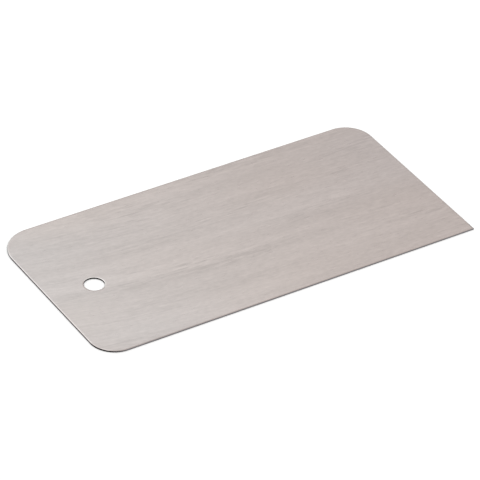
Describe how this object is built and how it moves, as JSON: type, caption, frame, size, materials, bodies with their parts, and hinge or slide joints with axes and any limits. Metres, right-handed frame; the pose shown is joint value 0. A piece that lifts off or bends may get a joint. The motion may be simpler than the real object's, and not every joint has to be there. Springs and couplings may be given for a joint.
{
  "type": "card scraper",
  "caption": "Flat rectangular sheet-steel card with rounded corners, a square working corner and a round hanging hole, drawn along a surface on its long edge to scrape it smooth.",
  "frame": {"origin": "on the lower face, under the middle of the blank's length and width", "axes": "+X along the length, away from the hole's end; +Y across the width, towards the back edge; +Z through the thickness, out of the upper face"},
  "size_m": [0.12, 0.06, 0.0004],
  "materials": {
    "steel": "fine brushed along the length, with a darker sheared finish on the edges"
  },
  "bodies": {
    "root": {"blade": "steel"}
  },
  "joints": []
}
